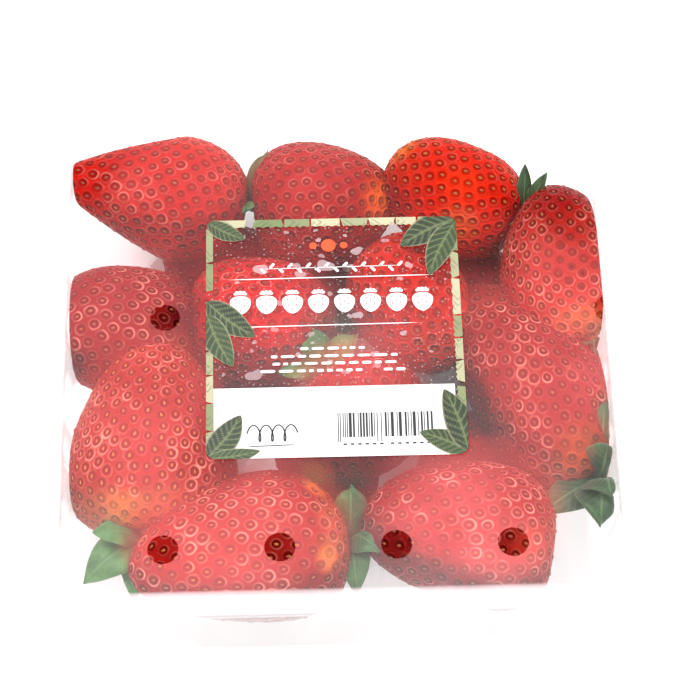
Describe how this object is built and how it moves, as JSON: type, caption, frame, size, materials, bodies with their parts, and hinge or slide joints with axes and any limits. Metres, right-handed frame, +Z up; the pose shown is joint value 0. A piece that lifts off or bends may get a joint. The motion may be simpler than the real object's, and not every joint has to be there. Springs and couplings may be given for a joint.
{
  "type": "punnet of strawberries",
  "caption": "Clear square punnet of large ripe strawberries under a sealed film lid with vent holes and a printed clear label.",
  "frame": {"origin": "centre of the tray's underside, on the surface it stands on", "axes": "+Z up, +Y to the back of the pack as the label is read, +X to the reader's right"},
  "size_m": [0.16, 0.16, 0.0467],
  "materials": {
    "clear_tray": "clear thermoformed plastic, glossy",
    "lid_film": "thin clear film, faintly misted inside",
    "label_print": "satin clear label with printed fields of colour",
    "berry_skin": "moist berry skin with dimples",
    "berry_seed": "small matt seeds",
    "berry_leaf": "soft green leaf"
  },
  "bodies": {
    "root": {"tray": "clear_tray", "film": "lid_film", "label": "label_print", "berries": "berry_skin"}
  },
  "joints": []
}
